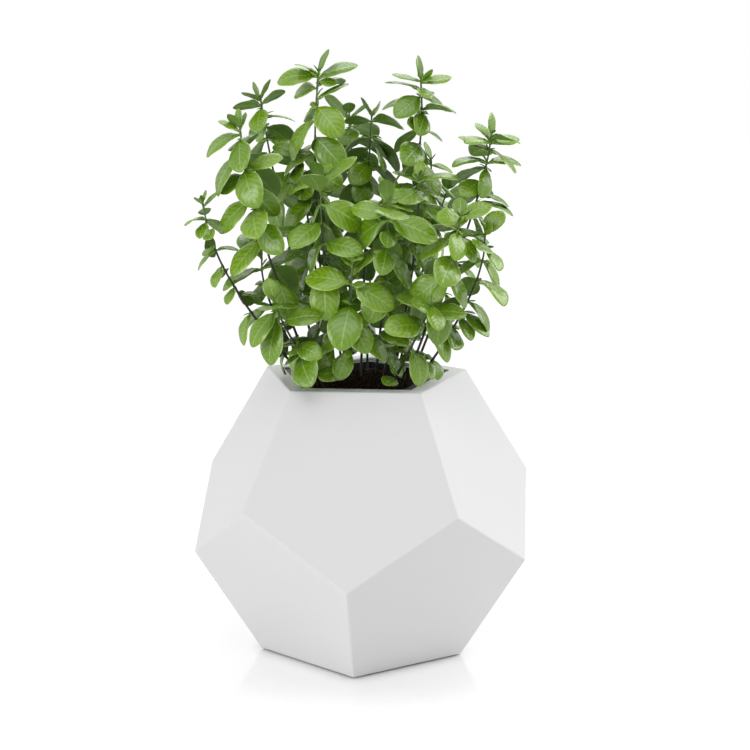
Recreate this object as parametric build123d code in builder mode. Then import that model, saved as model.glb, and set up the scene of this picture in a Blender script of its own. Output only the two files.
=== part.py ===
from build123d import *
from math import atan, cos, degrees, radians, sin, sqrt
from random import Random
import os

# A faceted plant pot: a regular dodecahedron of white moulded plastic, standing on one of its
# twelve pentagons, with the top pentagon open. A black liner hangs in the mouth and holds
# the soil, in which a bushy herb is rooted. Millimetres, +Z up, the front face towards -Y.

# Driving dimensions of the pot
edge = 100.0  # side of each pentagonal face
wall = 4.5
edge_round = 2.0  # outer corners of the moulding
lip_width = 12.0  # flat rim, from the outer corner to the mouth
mouth_round = 1.2
skirt_wall = 3.5  # collar that turns down inside the mouth
skirt_depth = 15.0
ledge_below_rim = 4.0
ledge_width = 5.5
ledge_thickness = 3.0
base_recess = 1.5
base_recess_margin = 20.0

# Foot pads
pad_radius = 6.0
pad_thickness = 2.2
pad_stands_out = 1.0  # the gap under the pot's base
pad_margin = 10.0  # from the base's edge to the pad
pad_clearance = 0.15

# Drain plug
drain_radius = 8.0
drain_clearance = 0.2
plug_head_radius = 12.5
plug_head_thickness = 2.5
plug_neck_radius = 3.2
plug_neck_height = 5.0
plug_grip_radius = 6.0

# Liner
liner_clearance = 0.8
liner_wall = 1.6
liner_depth = 110.0
liner_taper = 4.0  # degrees
liner_corner = 9.0
flange_thickness = 2.2
flange_clearance = 0.5
liner_rib_thickness = 1.6
liner_rib_width = 6.0
liner_rib_depth = 70.0
liner_foot = 4.0  # the foot ring that keeps the drain holes off a table
liner_foot_width = 3.0
drain_hole_radius = 4.0
drain_holes = 5
drain_hole_circle = 24.0

# Soil
soil_clearance = 0.3
soil_below_flange = 6.0
soil_crown = 4.0
soil_crown_slope = 60.0  # degrees from the vertical
soil_crown_margin = 5.0

# Sprigs
root_margin = 3.6  # from the soil's side to the ring over which the stems are planted
root_depth = 9.0
socket_clearance = 0.3
stem_base = 2.6  # side of the square stem where it leaves the soil
stem_tip = 1.5
stem_spans = 5  # straight lengths from the root to the tip
leaf_width = 0.62  # width of a leaf for each unit of its length
leaf_keel = 0.10  # depth of the midrib under the blade for each unit of its width
petiole_into_stem = 0.4  # share of the stem's half width
leaf_clearance = 1.5  # between the leaves and the pot
stem_clearance = 1.0

# Half outlines of a leaf: the distance along it and its width, as shares of length and width
mature_outline = [(0.0, 0.11), (0.35, 0.97), (0.71, 0.84), (1.0, 0.0)]
young_outline = [(0.0, 0.14), (0.48, 1.0), (1.0, 0.0)]
young_length = 33.0  # a leaf shorter than this has the plainer outline

# Worked out from the driving dimensions
face_lean = degrees(atan(0.5))  # of the side faces, from the vertical
half_corner = radians(36)
face_radius = edge / (2 * sin(half_corner))
face_inradius = face_radius * cos(half_corner)
solid_height_ratio = sqrt(5 / 2 + 11 / 10 * sqrt(5))
pot_base = pad_stands_out
pot_height = edge * solid_height_ratio
rim_top = pot_base + pot_height
mouth_inradius = face_inradius - lip_width
ledge_inradius = mouth_inradius - ledge_width
ledge_top = rim_top - ledge_below_rim
flange_top = ledge_top + flange_thickness
liner_inradius = ledge_inradius - liner_clearance
soil_inradius = liner_inradius - liner_wall - soil_clearance
root_spread = soil_inradius - root_margin
soil_rim = flange_top - soil_below_flange
base_floor = pot_base + wall
waist_radius = edge * (1 + sqrt(5)) / 2 / (2 * sin(half_corner))
half_width_x = waist_radius * cos(radians(18))
half_width_y = waist_radius


def corner_radius(inradius):
    return inradius / cos(half_corner)


def dodecahedron(side, base):
    """A regular dodecahedron standing on a pentagon: five faces that lean out cut by five that lean in."""
    radius = side / (2 * sin(half_corner))
    height = side * solid_height_ratio
    with BuildPart() as solid:
        with BuildSketch(Plane.XY.offset(base)):
            RegularPolygon(radius=radius, side_count=5, rotation=-90)
        extrude(amount=height, taper=-face_lean)
        with BuildSketch(Plane.XY.offset(base + height)):
            RegularPolygon(radius=radius, side_count=5, rotation=-54)
        extrude(amount=-height, taper=-face_lean, mode=Mode.INTERSECT)
    return solid.part


# Outer pot: one thin-walled moulding with a flat lip, a turned-down collar and a ledge for the liner
cavity_edge = edge - 2 * wall / solid_height_ratio
pot_blank = dodecahedron(edge, pot_base)
pot_cavity = dodecahedron(cavity_edge, pot_base + wall)
pad_circle = face_radius - pad_margin / cos(half_corner) - pad_radius
pad_recess_depth = pad_thickness - pad_stands_out

with BuildPart() as outer_pot:
    add(pot_blank)
    fillet(outer_pot.edges(), radius=edge_round)
    add(pot_cavity, mode=Mode.SUBTRACT)
    with BuildSketch(Plane.XY.offset(rim_top - skirt_depth)):
        RegularPolygon(radius=corner_radius(mouth_inradius + skirt_wall), side_count=5, rotation=-54)
    extrude(amount=skirt_depth - wall / 2)
    with BuildSketch(Plane.XY.offset(rim_top)):
        RegularPolygon(radius=corner_radius(mouth_inradius), side_count=5, rotation=-54)
    extrude(amount=-skirt_depth, mode=Mode.SUBTRACT)
    mouth_edges = outer_pot.edges().group_by(Axis.Z)[-1].sort_by(SortBy.LENGTH)[:5]
    fillet(mouth_edges, radius=mouth_round)
    with BuildSketch(Plane.XY.offset(ledge_top - ledge_thickness)):
        RegularPolygon(radius=corner_radius(mouth_inradius + skirt_wall / 2), side_count=5, rotation=-54)
        RegularPolygon(
            radius=corner_radius(ledge_inradius), side_count=5, rotation=-54, mode=Mode.SUBTRACT
        )
    extrude(amount=ledge_thickness)
    with BuildSketch(Plane.XY.offset(pot_base)):
        RegularPolygon(
            radius=corner_radius(face_inradius - base_recess_margin), side_count=5, rotation=-90
        )
    extrude(amount=base_recess, mode=Mode.SUBTRACT)
    with BuildSketch(Plane.XY.offset(pot_base)):
        Circle(drain_radius)
    extrude(amount=wall, mode=Mode.SUBTRACT)
    with BuildSketch(Plane.XY.offset(pot_base)):
        with PolarLocations(pad_circle, 5, start_angle=-90):
            Circle(pad_radius + pad_clearance)
    extrude(amount=pad_recess_depth, mode=Mode.SUBTRACT)
outer_pot.part.label = "outer_pot"

# Foot pads: five rubber discs let into the base, near its corners
foot_pads = []
for number in range(5):
    bearing = radians(-90 + 72 * number)
    with BuildPart() as foot_pad:
        with BuildSketch(Plane((pad_circle * cos(bearing), pad_circle * sin(bearing), 0))):
            Circle(pad_radius)
        extrude(amount=pad_thickness)
        chamfer(foot_pad.edges().group_by(Axis.Z)[0], length=pad_stands_out / 2)
    foot_pad.part.label = f"foot_pad_{number + 1}"
    foot_pads.append(foot_pad.part)

# Drain plug: a rubber bung pushed down into the base's drain hole, with a grip to pull it by
plug_shank_radius = drain_radius - drain_clearance
plug_bottom = pot_base + base_recess
plug_head_top = base_floor + plug_head_thickness
plug_neck_top = plug_head_top + plug_neck_height
with BuildPart() as drain_plug:
    with BuildSketch(Plane.XZ):
        with BuildLine():
            Polyline(
                (0, plug_bottom),
                (plug_shank_radius, plug_bottom),
                (plug_shank_radius, base_floor),
                (plug_head_radius, base_floor),
                (plug_head_radius, plug_head_top),
                (plug_neck_radius, plug_head_top),
                (plug_neck_radius, plug_neck_top),
                (0, plug_neck_top),
                close=True,
            )
        make_face()
        with Locations((0, plug_neck_top)):
            RegularPolygon(radius=plug_grip_radius, side_count=8, rotation=22.5)
        Rectangle(
            plug_head_radius * 2, pot_height, align=(Align.MAX, Align.MIN), mode=Mode.SUBTRACT
        )
    revolve(axis=Axis.Z)
    head_rim = drain_plug.edges().filter_by(GeomType.CIRCLE).sort_by(SortBy.RADIUS)[-2:]
    chamfer(head_rim.sort_by(Axis.Z)[-1], length=plug_head_thickness / 3)
drain_plug.part.label = "drain_plug"

# Liner: a tapered pentagonal cup that hangs by its flange on the pot's ledge, with upright ribs
# that keep it central, a foot ring and a perforated floor
liner_bottom = flange_top - liner_depth
taper_slope = sin(radians(liner_taper)) / cos(radians(liner_taper))
liner_bottom_inradius = liner_inradius - taper_slope * liner_depth
liner_hollow_depth = liner_depth - liner_foot - liner_wall
liner_floor = flange_top - liner_hollow_depth
with BuildPart() as liner:
    with BuildSketch(Plane.XY.offset(flange_top)):
        cup = RegularPolygon(radius=corner_radius(liner_inradius), side_count=5, rotation=-54)
        fillet(cup.vertices(), radius=liner_corner)
    extrude(amount=-liner_depth, taper=liner_taper)
    with BuildSketch(Plane.XY.offset(ledge_top - liner_rib_depth)):
        with PolarLocations(liner_inradius, 5, start_angle=-18):
            Rectangle(liner_rib_width, liner_rib_thickness, align=(Align.MAX, Align.CENTER))
    extrude(amount=liner_rib_depth)
    with BuildSketch(Plane.XY.offset(ledge_top)):
        RegularPolygon(
            radius=corner_radius(mouth_inradius - flange_clearance), side_count=5, rotation=-54
        )
    extrude(amount=flange_thickness)
    with BuildSketch(Plane.XY.offset(flange_top)):
        hollow = RegularPolygon(
            radius=corner_radius(liner_inradius - liner_wall), side_count=5, rotation=-54
        )
        fillet(hollow.vertices(), radius=liner_corner - liner_wall)
    extrude(amount=-liner_hollow_depth, taper=liner_taper, mode=Mode.SUBTRACT)
    with BuildSketch(Plane.XY.offset(liner_bottom)):
        RegularPolygon(
            radius=corner_radius(liner_bottom_inradius - liner_foot_width),
            side_count=5,
            rotation=-54,
        )
    extrude(amount=liner_foot, mode=Mode.SUBTRACT)
    with BuildSketch(Plane.XY.offset(liner_bottom)):
        Circle(drain_hole_radius)
        with PolarLocations(drain_hole_circle, drain_holes):
            Circle(drain_hole_radius)
    extrude(amount=liner_foot + liner_wall, mode=Mode.SUBTRACT)
liner.part.label = "liner"

# Sprigs: where each stem is planted and how it leans. The root is a share of the planting
# radius; the belly and the tip are measured from the root.
soil_top = soil_rim + soil_crown
root_height = soil_top - root_depth


class Sprig:
    def __init__(self, root, belly, tip, pairs, leaf, turn):
        self.root = (root[0] * root_spread, root[1] * root_spread, root_height)
        self.belly = tuple(self.root[k] + belly[k] for k in range(3))
        self.tip = tuple(self.root[k] + tip[k] for k in range(3))
        self.pairs = pairs
        self.leaf = leaf
        self.turn = turn
        self.leaves = []
        self.taken = []


sprigs = [
    Sprig(root=(-0.53, -0.18), belly=(-12, 0, 148), tip=(-10, 3, 249), pairs=14, leaf=35, turn=20),
    Sprig(root=(-0.76, 0.36), belly=(-35, 14, 143), tip=(-50, 14, 228), pairs=13, leaf=31, turn=60),
    Sprig(root=(-0.71, -0.49), belly=(-40, -23, 125), tip=(-59, -10, 209), pairs=11, leaf=40, turn=100),
    Sprig(root=(-0.79, -0.26), belly=(-60, -32, 88), tip=(-84, -26, 152), pairs=9, leaf=22, turn=10),
    Sprig(root=(-0.07, 0.22), belly=(3, 20, 132), tip=(7, 25, 215), pairs=12, leaf=34, turn=45),
    Sprig(root=(-0.36, 0.44), belly=(3, 25, 128), tip=(0, 35, 215), pairs=11, leaf=33, turn=80),
    Sprig(root=(0.31, 0.18), belly=(26, 7, 158), tip=(30, 2, 243), pairs=14, leaf=32, turn=75),
    Sprig(root=(0.53, 0.49), belly=(22, 20, 115), tip=(27, 18, 179), pairs=10, leaf=31, turn=15),
    Sprig(root=(0.76, 0.04), belly=(48, 6, 131), tip=(65, 2, 202), pairs=13, leaf=30, turn=40),
    Sprig(root=(0.8, -0.28), belly=(48, -17, 78), tip=(60, -22, 133), pairs=8, leaf=29, turn=0),
    Sprig(root=(0.24, -0.58), belly=(11, -29, 104), tip=(13, -26, 156), pairs=9, leaf=38, turn=90),
    Sprig(root=(-0.49, 0.09), belly=(-20, 4, 118), tip=(-28, 1, 189), pairs=10, leaf=32, turn=30),
    Sprig(root=(-0.4, -0.49), belly=(-7, -28, 109), tip=(-10, -20, 172), pairs=9, leaf=36, turn=70),
    Sprig(root=(0.67, -0.49), belly=(33, -30, 89), tip=(48, -28, 145), pairs=9, leaf=35, turn=110),
    Sprig(root=(0.49, -0.18), belly=(19, -10, 107), tip=(22, -8, 171), pairs=9, leaf=34, turn=50),
    Sprig(root=(-0.53, -0.64), belly=(-24, -33, 50), tip=(-37, -41, 81), pairs=5, leaf=38, turn=20),
    Sprig(root=(-0.13, -0.71), belly=(2, -30, 67), tip=(4, -32, 111), pairs=6, leaf=38, turn=80),
    Sprig(root=(0.44, -0.67), belly=(23, -30, 48), tip=(38, -36, 80), pairs=5, leaf=36, turn=60),
    Sprig(root=(-0.4, 0.67), belly=(-20, 38, 102), tip=(-29, 48, 167), pairs=7, leaf=33, turn=10),
    Sprig(root=(0.38, 0.67), belly=(28, 34, 94), tip=(45, 42, 152), pairs=7, leaf=33, turn=70),
    Sprig(root=(-0.73, -0.04), belly=(-36, -18, 66), tip=(-44, -20, 112), pairs=7, leaf=36, turn=35),
    Sprig(root=(0.0, 0.73), belly=(0, 42, 92), tip=(10, 55, 150), pairs=7, leaf=33, turn=120),
]

# The leaves that show best from the front, stem by stem. Each has its place as a share of the
# stem, its bearing, its lift above the square to the stem and its bend in degrees, how far it
# turns its face outward, and its length. The lengths and bends were judged by eye. A search
# found the rest, as the values that bring each leaf's tip where the photograph shows it.
front_leaves = {
    1: [
        (0.99, 0, 80, 20, 0.2, 21), (0.98, -160, 10, 60, 1.2, 33), (0.97, -10, 40, 40, 0.7, 33),
        (0.99, 160, 50, 30, 0.2, 24), (0.93, 160, 0, 50, 1.2, 26), (0.88, 10, 40, 20, 0.2, 28),
        (0.96, -50, 20, 20, 1.2, 17),
    ],
    2: [
        (0.99, -160, 70, 10, 2.0, 15), (0.99, -10, 60, 10, 0.2, 18), (0.98, -140, 40, 20, 0.2, 19),
        (0.95, -160, 20, 30, 1.2, 24), (0.96, 50, 30, 40, 2.0, 24),
    ],
    3: [
        (0.99, 120, 80, 10, 2.0, 17), (0.98, 40, 70, 10, 2.0, 16), (0.97, -140, 40, 30, 0.7, 19),
        (0.96, -170, 0, 60, 1.2, 33), (0.94, -100, -50, 30, 0.7, 33), (0.75, 170, 0, 30, 2.0, 28),
        (0.73, 10, -70, 40, 1.2, 35), (0.79, -10, 10, 20, 1.2, 30), (0.66, -180, -20, 30, 2.0, 38),
        (0.51, -150, -20, 25, 2.0, 38), (0.56, -70, -30, 40, 2.0, 34), (0.36, -70, -50, 40, 0.2, 34),
    ],
    4: [
        (0.99, -10, 70, 10, 0.7, 11), (0.98, -110, 40, 20, 0.2, 11), (0.97, 0, 40, 10, 2.0, 16),
        (0.37, -150, -10, 60, 0.2, 27), (0.50, -120, 0, 40, 0.7, 18), (0.48, 100, -50, 40, 2.0, 20),
        (0.61, -120, -10, 50, 1.2, 22), (0.73, -110, 0, 30, 0.7, 18), (0.87, -110, -30, 40, 0.2, 18),
    ],
    5: [
        (0.99, 170, 60, 10, 0.7, 17), (0.99, 60, 40, 10, 2.0, 17), (0.96, -20, 20, 60, 0.7, 34),
        (0.96, 150, 10, 40, 0.7, 24),
    ],
    7: [
        (0.99, 90, 80, 10, 0.2, 20), (0.99, 40, 60, 10, 2.0, 17), (0.99, -160, 30, 10, 0.7, 24),
        (0.98, 20, 10, 10, 0.7, 25), (0.95, -70, 0, 30, 0.2, 20), (0.82, -180, 40, 80, 2.0, 34),
        (0.82, -20, 20, 50, 1.2, 32), (0.74, -100, 20, 40, 2.0, 22), (0.73, -50, 10, 40, 2.0, 22),
    ],
    8: [
        (0.99, 120, 60, 10, 0.2, 17), (0.99, 20, 70, 10, 1.2, 18), (0.96, 30, -10, 30, 2.0, 22),
    ],
    9: [
        (0.98, 100, 70, 10, 0.7, 19), (0.95, 130, 40, 30, 0.2, 22), (0.93, 30, 20, 20, 0.7, 26),
        (0.87, -160, 30, 20, 0.7, 28), (0.79, -150, 20, 70, 0.2, 32), (0.79, 0, 30, 60, 0.7, 30),
        (0.64, 0, 10, 40, 0.7, 26), (0.59, -10, 30, 60, 2.0, 32),
    ],
    10: [
        (0.43, -20, 0, 30, 2.0, 28), (0.40, -50, 0, 40, 0.7, 24), (0.61, -40, 30, 80, 1.2, 38),
        (0.84, -50, 0, 60, 1.2, 28),
    ],
    11: [
        (0.17, -30, -20, 60, 0.2, 30), (0.63, -90, -30, 30, 1.2, 27), (0.96, 90, 60, 20, 0.2, 22),
        (0.85, -170, 20, 30, 1.2, 29), (0.74, -80, -10, 40, 2.0, 22),
    ],
    14: [
        (0.33, -30, -10, 50, 0.2, 34), (0.99, -130, -10, 30, 2.0, 22), (0.97, 120, 70, 20, 0.2, 20),
        (0.88, -70, -40, 40, 2.0, 28), (0.83, 10, -20, 50, 2.0, 26),
    ],
    16: [
        (0.86, -150, -10, 50, 0.7, 34), (0.78, -140, -30, 40, 0.7, 38), (0.36, -90, 20, 50, 2.0, 38),
        (0.37, -130, 0, 30, 0.2, 16),
    ],
    17: [
        (0.30, -110, -20, 50, 1.2, 26), (0.50, -60, -20, 40, 2.0, 30),
    ],
    18: [
        (0.99, -60, -10, 40, 2.0, 26), (0.95, -110, 20, 30, 1.2, 24),
    ],
}


# Small vector sums on plain tuples
def plus(a, b, k=1.0):
    return (a[0] + b[0] * k, a[1] + b[1] * k, a[2] + b[2] * k)


def dot(a, b):
    return a[0] * b[0] + a[1] * b[1] + a[2] * b[2]


def cross(a, b):
    return (a[1] * b[2] - a[2] * b[1], a[2] * b[0] - a[0] * b[2], a[0] * b[1] - a[1] * b[0])


def unit(a):
    size = sqrt(dot(a, a))
    return (a[0] / size, a[1] / size, a[2] / size)


def stem_knot(sprig, number):
    """A joint of the stem, on a parabola through the root, the belly and the tip."""
    t = number / stem_spans
    bend = tuple(2 * sprig.belly[k] - (sprig.root[k] + sprig.tip[k]) / 2 for k in range(3))
    before, middle, after = (1 - t) ** 2, 2 * t * (1 - t), t * t
    return tuple(
        sprig.root[k] * before + bend[k] * middle + sprig.tip[k] * after for k in range(3)
    )


def stem_point(sprig, t):
    """A point on the stem, which is straight from one joint to the next."""
    span = min(int(t * stem_spans), stem_spans - 1)
    below, above = stem_knot(sprig, span), stem_knot(sprig, span + 1)
    return plus(below, plus(above, below, -1), t * stem_spans - span)


def stem_heading(sprig, t):
    span = min(int(t * stem_spans), stem_spans - 1)
    return unit(plus(stem_knot(sprig, span + 1), stem_knot(sprig, span), -1))


def stem_side(t):
    return stem_base + (stem_tip - stem_base) * t


class Outline:
    """What a leaf or a length of stem takes up: a few triangles and the lines along its edges."""

    def __init__(self, rows, lines):
        self.faces = []
        for (a, b), (c, d) in zip(rows, rows[1:]):
            self.faces += [(a, b, d), (a, d, c)]
        self.lines = lines
        corners = [point for line in lines for point in line]
        low = tuple(min(p[k] for p in corners) for k in range(3))
        high = tuple(max(p[k] for p in corners) for k in range(3))
        self.centre = tuple((low[k] + high[k]) / 2 for k in range(3))
        self.reach = max(sqrt(dot(plus(p, self.centre, -1), plus(p, self.centre, -1))) for p in corners)


class Leaf:
    """One leaf: its midrib is an arc that turns down by droop degrees from start along heading."""

    def __init__(self, start, heading, across, length, droop):
        self.start, self.heading, self.across = start, heading, across
        self.rise = cross(heading, across)
        half_turn = radians(droop) / 2
        self.chord = plus(tuple(v * cos(half_turn) for v in heading), self.rise, -sin(half_turn))
        self.up = cross(self.chord, across)
        self.length, self.droop = length, radians(droop)
        self.width = leaf_width * length
        self.outline = young_outline if length < young_length else mature_outline
        left, right, keel = [], [], []
        for s, share in self.outline:
            centre = self.station(s)
            left.append(plus(centre, across, -self.width * share / 2))
            right.append(plus(centre, across, self.width * share / 2))
            keel.append(plus(centre, self.up, -self.width * share * leaf_keel))
        self.points = left + right + keel
        lines = [pair for edge in (left, right, keel) for pair in zip(edge, edge[1:])]
        self.whole = Outline(list(zip(left, right)), lines)
        blade_lines = [pair for edge in (left, right, keel) for pair in zip(edge[1:], edge[2:])]
        self.blade = Outline(list(zip(left, right))[1:], blade_lines)

    def station(self, s):
        turned = self.droop * s
        ahead = self.length * sin(turned) / self.droop if s else 0.0
        down = self.length * (1 - cos(turned)) / self.droop
        return plus(plus(self.start, self.heading, ahead), self.rise, -down)


def stem_outline(a, b, side):
    """Two crossed strips along a length of stem."""
    rows, lines = [], []
    for sideways in ((1, 0, 0), (0, 1, 0)):
        near = plus(a, sideways, -side / 2), plus(a, sideways, side / 2)
        far = plus(b, sideways, -side / 2), plus(b, sideways, side / 2)
        rows.append((near, far))
        lines += [(near[0], far[0]), (near[1], far[1])]
    whole = Outline([rows[0][0], rows[0][1]], lines)
    whole.faces += Outline([rows[1][0], rows[1][1]], lines).faces
    return whole


hit_margin = 0.02  # share of a line or a side by which a near miss counts as a hit


def pierces(line, face):
    """Whether a line goes through a triangle."""
    least, most = -hit_margin, 1 + hit_margin
    along = plus(line[1], line[0], -1)
    side_a, side_b = plus(face[1], face[0], -1), plus(face[2], face[0], -1)
    h = cross(along, side_b)
    det = dot(side_a, h)
    if det == 0:
        return False
    s = plus(line[0], face[0], -1)
    u = dot(s, h) / det
    if u < least or u > most:
        return False
    q = cross(s, side_a)
    v = dot(along, q) / det
    if v < least or u + v > most:
        return False
    return least <= dot(side_b, q) / det <= most


def crossing(one, other):
    apart = plus(one.centre, other.centre, -1)
    if dot(apart, apart) > (one.reach + other.reach) ** 2:
        return False
    if any(pierces(line, face) for line in one.lines for face in other.faces):
        return True
    return any(pierces(line, face) for line in other.lines for face in one.faces)


def clear_of_pot(leaf):
    """A leaf hangs over the rim or stands in the mouth, and stays inside the pot's own width."""
    for x, y, z in leaf.points:
        if abs(x) > half_width_x - leaf_clearance or abs(y) > half_width_y - leaf_clearance:
            return False
        if z < soil_top + leaf_clearance:
            return False
        if z < rim_top + leaf_clearance and sqrt(x * x + y * y) > soil_inradius:
            return False
    return True


# How leaves are set on their stems
first_pair, last_pair = 0.17, 0.99  # as shares of the stem
crowding = 1.5  # pairs crowd towards the tip
young_pairs = 3  # the pairs at the tip that still point up
smallest_young, young_growth = 0.50, 0.36  # size at the tip, and what each pair below it gains
smallest_old, old_growth, old_pairs = 0.84, 0.08, 2  # the same from the soil up
mature_lift, young_lift = -20.0, 66.0  # degrees above the square to the stem
mature_droop, young_droop = 52.0, 30.0  # degrees that the blade bends down
sway = 21.0  # degrees either way by which leaves differ
shortest, longest = 0.90, 1.14  # by which the lengths of like leaves differ
least_facing, most_facing = 0.45, 1.35  # how far a leaf turns its face away from the crown's middle
young_facing = 0.5  # a leaf at the tip does so by this share
crown_centre = (-8.0, 25.0)
turns_aside = (0, 12, -12, 24, -24, 36, -36, 48, -48, 20, -20, 40, -40, 55, -55, 0)
turns_up = (0, 8, -8, 14, 14, -14, 22, -18, 28, 30, 34, 38, -20, 40, 30, 45)
shrinks = 0.02  # each turn aside also makes the leaf a little smaller
steepest = 0.05  # a leaf that points straight at the light takes its face from the stem instead
season = 29
same_node = 0.045  # within this share of the stem two leaves grow at one node
same_side = 50.0  # and within these degrees on one side of it


def set_leaf(sprig, t, azimuth, lift, droop, facing, length):
    here, along = stem_point(sprig, t), stem_heading(sprig, t)
    level = (cos(radians(azimuth)), sin(radians(azimuth)), 0.0)
    outward = unit(plus(level, along, -dot(level, along)))
    heading = plus(tuple(v * cos(radians(lift)) for v in outward), along, sin(radians(lift)))
    away = unit((here[0] - crown_centre[0], here[1] - crown_centre[1], 0.0))
    light = plus((0.0, 0.0, 1.0), away, facing)
    rise = plus(light, heading, -dot(light, heading))
    if dot(rise, rise) < steepest:
        rise = plus(along, heading, -dot(along, heading))
    across = cross(unit(rise), heading)
    start = plus(here, heading, petiole_into_stem * stem_side(t) / 2)
    return Leaf(start, heading, across, length, droop)


def leaf_size(sprig, number):
    """The size of a pair: small at the tip, a little smaller again near the soil."""
    below_tip = sprig.pairs - 1 - number
    young = min(1.0, smallest_young + young_growth * below_tip)
    return sprig.leaf * young * (smallest_old + old_growth * min(old_pairs, number))


def has_room(leaf, sprig, sprigs, leaves):
    """Whether a leaf clears the pot, the stems and the leaves that have grown before it."""
    if not clear_of_pot(leaf):
        return False
    if any(crossing(leaf.blade, length) for length in sprig.stalk):
        return False
    for other in sprigs:
        if other is not sprig and any(crossing(leaf.whole, length) for length in other.stalk):
            return False
    return not any(crossing(leaf.whole, grown.whole) for grown in leaves)


def find_room(sprigs, leaves, sprig, at, bearing, lift, droop, facing, length):
    """Grow a leaf, turned aside and up until it cuts no other, or leave it out."""
    for tried, (aside, up) in enumerate(zip(turns_aside, turns_up)):
        size = length * (1 - shrinks * tried)
        leaf = set_leaf(sprig, at, bearing + aside, lift + up, droop, facing, size)
        if has_room(leaf, sprig, sprigs, leaves):
            sprig.leaves.append(leaf)
            leaves.append(leaf)
            return


def is_taken(sprig, at, bearing):
    """Whether a front leaf already grows from this side of the node."""
    for taken_at, taken_bearing in sprig.taken:
        between = abs((bearing - taken_bearing + 180) % 360 - 180)
        if abs(at - taken_at) < same_node and between < same_side:
            return True
    return False


def grow(sprigs):
    """Set the front leaves, and then pairs of leaves crosswise up each stem."""
    leaves = []
    for sprig in sprigs:
        knots = [stem_knot(sprig, number) for number in range(stem_spans + 1)]
        sides = [stem_side(number / stem_spans) + stem_clearance for number in range(stem_spans)]
        sprig.stalk = [stem_outline(*ends) for ends in zip(knots, knots[1:], sides)]
    for stem, placed in front_leaves.items():
        for at, bearing, lift, droop, facing, length in placed:
            find_room(sprigs, leaves, sprigs[stem - 1], at, bearing, lift, droop, facing, length)
            sprigs[stem - 1].taken.append((at, bearing))
    chance = Random(season)
    for sprig in sprigs:
        for number in range(sprig.pairs):
            share = number / (sprig.pairs - 1)
            at = first_pair + (last_pair - first_pair) * (1 - (1 - share) ** crowding)
            young = max(0.0, 1 - (sprig.pairs - 1 - number) / young_pairs)
            for half in range(2):
                bearing = sprig.turn + 90 * number + 180 * half + chance.uniform(-sway, sway)
                lift = mature_lift + (young_lift - mature_lift) * young + chance.uniform(-sway, sway)
                droop = mature_droop + (young_droop - mature_droop) * young + chance.uniform(-sway, sway)
                length = leaf_size(sprig, number) * chance.uniform(shortest, longest)
                facing = chance.uniform(least_facing, most_facing) * (1 - young_facing * young)
                if not is_taken(sprig, at, bearing):
                    find_room(sprigs, leaves, sprig, at, bearing, lift, droop, facing, length)
    return len(leaves)


def flat_sided(solid):
    """The same solid, with each of its flat sides held as a plane."""
    return Solid(Shell([Face(side.outer_wire()) for side in solid.faces()]))


def leaf_solid(leaf):
    """A blade with a flat upper face and a midrib below it, lofted along its chord to a pointed tip."""
    sections = []
    for s, share in leaf.outline[:-1]:
        half = leaf.width * share / 2
        across_chord = Plane(origin=leaf.station(s), x_dir=leaf.across, z_dir=leaf.chord)
        with BuildSketch(across_chord) as section:
            Polygon((-half, 0), (half, 0), (0, -2 * half * leaf_keel), align=None)
        sections.append(section.sketch)
    with BuildPart() as blade:
        loft([*sections, Vertex(*leaf.station(1.0))], ruled=True)
    return flat_sided(blade.part)


def stem_solid(sprig):
    """A square stem that tapers from joint to joint."""
    with BuildPart() as stem:
        for number in range(stem_spans + 1):
            side = stem_side(number / stem_spans)
            with BuildSketch(Plane(stem_knot(sprig, number))):
                Rectangle(side, side)
        loft(ruled=True)
    return flat_sided(stem.part)


def sprig_solid(sprig):
    """A stem with its leaves grown onto it."""
    with BuildPart() as grown:
        add(stem_solid(sprig))
        add([leaf_solid(leaf) for leaf in sprig.leaves])
    return grown.part


leaf_count = grow(sprigs)
sprig_parts = []
for number, sprig in enumerate(sprigs):
    sprig_part = sprig_solid(sprig)
    sprig_part.label = f"sprig_{number + 1:02d}"
    sprig_parts.append(sprig_part)
print("leaves", leaf_count)

# Soil: it fills the liner, crowns a little, and has a socket for each stem
soil_inradius_at_rim = soil_inradius - taper_slope * (flange_top - soil_rim)
with BuildPart() as soil:
    with BuildSketch(Plane.XY.offset(soil_rim)):
        bed = RegularPolygon(radius=corner_radius(soil_inradius_at_rim), side_count=5, rotation=-54)
        fillet(bed.vertices(), radius=liner_corner - liner_wall - soil_clearance)
    extrude(amount=-(soil_rim - liner_floor), taper=liner_taper)
    with BuildSketch(Plane.XY.offset(soil_rim)):
        RegularPolygon(
            radius=corner_radius(soil_inradius_at_rim - soil_crown_margin), side_count=5, rotation=-54
        )
    extrude(amount=soil_crown, taper=soil_crown_slope)
    for sprig in sprigs:
        socket = stem_base + 2 * socket_clearance
        with BuildSketch(Plane(sprig.root)):
            Rectangle(socket, socket)
        extrude(amount=2 * root_depth, dir=stem_heading(sprig, 0), mode=Mode.SUBTRACT)
soil.part.label = "soil"

os.makedirs("parts", exist_ok=True)
export_step(outer_pot.part, "parts/outer_pot.step")
export_step(drain_plug.part, "parts/drain_plug.step")
export_step(liner.part, "parts/liner.step")
export_step(soil.part, "parts/soil.step")
for piece in foot_pads + sprig_parts:
    export_step(piece, f"parts/{piece.label}.step")
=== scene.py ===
import bmesh
import bpy
from math import cos, exp, pi, radians, sin, sqrt
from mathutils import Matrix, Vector
from random import Random


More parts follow.
